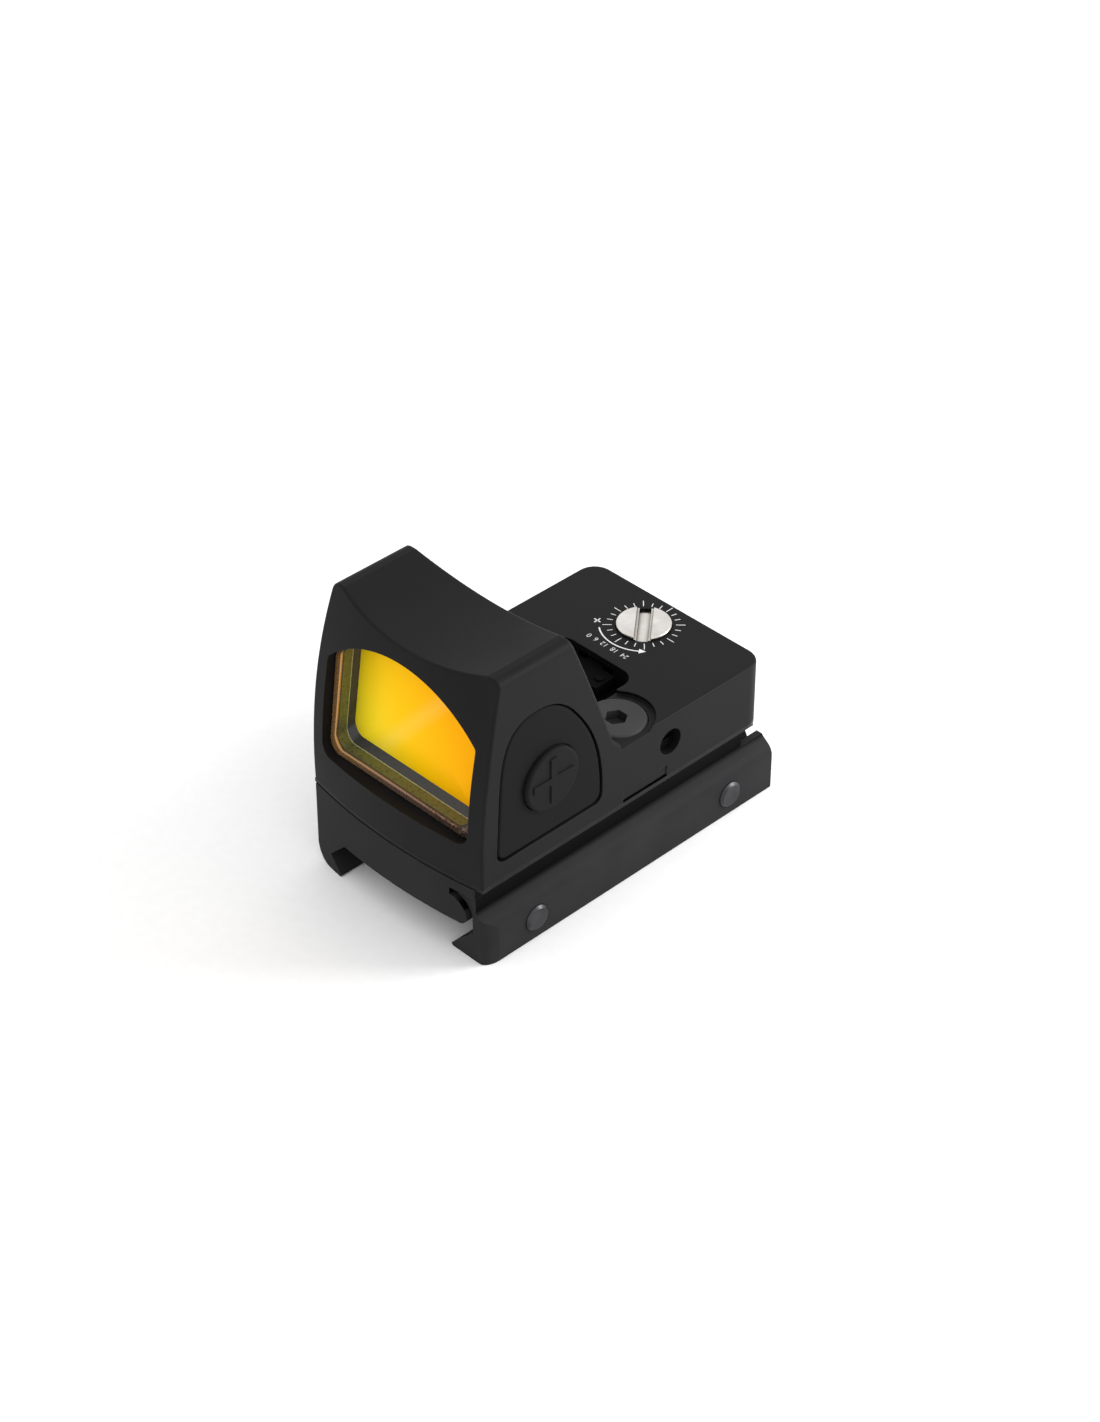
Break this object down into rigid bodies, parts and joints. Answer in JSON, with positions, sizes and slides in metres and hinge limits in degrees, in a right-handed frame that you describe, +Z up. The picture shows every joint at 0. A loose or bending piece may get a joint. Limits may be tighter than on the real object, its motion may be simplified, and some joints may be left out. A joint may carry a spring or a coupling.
{
  "type": "open reflex red dot sight",
  "caption": "Open-emitter reflex red dot sight: hooded amber lens, side brightness buttons, dial adjusters on deck and side, clamp base for an accessory rail.",
  "frame": {"origin": "on the middle plane of the sight, level with the undersides of the clamp feet, half way between the housing's front edge and rear wall", "axes": "+X across the sight to the side of the clamp bar and plus button, +Y from the lens to the rear, +Z up from the rail to the hood"},
  "size_m": [0.0296, 0.0477, 0.0368],
  "materials": {
    "housing_anodised": "matte black anodised",
    "clamp_anodised": "satin black anodised",
    "button_rubber": "matte moulded rubber",
    "coated_glass": "amber reflective coating",
    "clear_glass": "polished",
    "bond_ring_copper": "copper-toned, polished",
    "dial_nickel": "bright nickel plate",
    "screw_black": "black oxide",
    "bolt_steel": "zinc plated, dulled",
    "board_green": "solder mask",
    "chip_black": "moulded epoxy",
    "capacitor_tan": "ceramic",
    "cell_steel": "nickel-plated can",
    "contact_brass": "gold flashed",
    "seal_black": "nitrile rubber",
    "plate_black": "black coated",
    "spring_steel": "bright wire",
    "emitter_black": "matte black anodised",
    "led_red": "moulded lens",
    "marking_white": "printed dial marks"
  },
  "bodies": {
    "sight_body": {"housing": "housing_anodised", "lens_bond_ring": "bond_ring_copper", "front_lens_element": "coated_glass", "rear_lens_element": "clear_glass", "plus_button_surround": "button_rubber", "minus_button_surround": "button_rubber", "plus_switch": "contact_brass", "minus_switch": "contact_brass", "seal_plate": "plate_black", "seal_gasket": "seal_black", "battery_cell": "cell_steel", "negative_contact": "contact_brass", "positive_contact": "contact_brass", "circuit_board": "board_green", "control_chip": "chip_black", "board_capacitors": "capacitor_tan", "board_screws": "screw_black", "windage_spring": "spring_steel", "mounting_screws": "screw_black", "mount_base": "clamp_anodised"},
    "plus_button_body": {"plus_button": "button_rubber"},
    "minus_button_body": {"minus_button": "button_rubber"},
    "elevation_dial": {"elevation_screw": "dial_nickel", "elevation_o_ring": "seal_black", "elevation_retaining_clip": "spring_steel"},
    "elevation_nut_body": {"elevation_nut": "contact_brass"},
    "windage_dial": {"windage_screw": "screw_black", "windage_o_ring": "seal_black", "windage_retaining_clip": "spring_steel"},
    "windage_sled": {"windage_carriage": "emitter_black"},
    "emitter": {"emitter_block": "emitter_black", "red_led": "led_red", "emitter_window": "clear_glass"},
    "clamp_bar_body": {"clamp_bar": "clamp_anodised"},
    "front_bolt": {"front_clamp_screw": "bolt_steel"},
    "rear_bolt": {"rear_clamp_screw": "bolt_steel"}
  },
  "joints": [
    {"name": "plus_button_press", "type": "slide", "parent": "sight_body", "child": "plus_button_body", "axis": [-1, 0, 0], "range_m": [0, 0.00045], "stiffness_N_per_m": 1500},
    {"name": "minus_button_press", "type": "slide", "parent": "sight_body", "child": "minus_button_body", "axis": [1, 0, 0], "range_m": [0, 0.00045], "stiffness_N_per_m": 1500},
    {"name": "elevation_turn", "type": "hinge", "parent": "sight_body", "child": "elevation_dial", "pos_m": [-0.0005, 0.0172, 0.0183], "axis": [0, 0, 1], "range_deg": [-361, 361]},
    {"name": "elevation_nut_rise", "type": "slide", "parent": "sight_body", "child": "elevation_nut_body", "axis": [0, 0, 1], "range_m": [-0.00031, 0.00031]},
    {"name": "windage_turn", "type": "hinge", "parent": "sight_body", "child": "windage_dial", "pos_m": [0.0123, 0.00685, 0.0155], "axis": [1, 0, 0], "range_deg": [-361, 361]},
    {"name": "windage_shift", "type": "slide", "parent": "sight_body", "child": "windage_sled", "axis": [1, 0, 0], "range_m": [-0.0003, 0.0003], "deforming": ["windage_spring"]},
    {"name": "emitter_rise", "type": "slide", "parent": "windage_sled", "child": "emitter", "axis": [0, 0, 1], "range_m": [-0.0003, 0.0003]},
    {"name": "front_bolt_turn", "type": "hinge", "parent": "sight_body", "child": "front_bolt", "pos_m": [0, -0.015, 0.003], "axis": [1, 0, 0], "range_deg": [-721, 181]},
    {"name": "rear_bolt_turn", "type": "hinge", "parent": "sight_body", "child": "rear_bolt", "pos_m": [0, 0.0164, 0.003], "axis": [1, 0, 0], "range_deg": [-721, 181]},
    {"name": "clamp_bar_slide", "type": "slide", "parent": "sight_body", "child": "clamp_bar_body", "axis": [1, 0, 0], "range_m": [-0.00035, 0.0014]}
  ],
  "couplings": [
    {"joint": "elevation_turn", "follows": "emitter_rise", "rad_per_m": -20944},
    {"joint": "elevation_nut_rise", "follows": "emitter_rise", "ratio": 1},
    {"joint": "windage_turn", "follows": "windage_shift", "rad_per_m": -20944},
    {"joint": "front_bolt_turn", "follows": "clamp_bar_slide", "rad_per_m": -8976},
    {"joint": "rear_bolt_turn", "follows": "clamp_bar_slide", "rad_per_m": -8976}
  ]
}
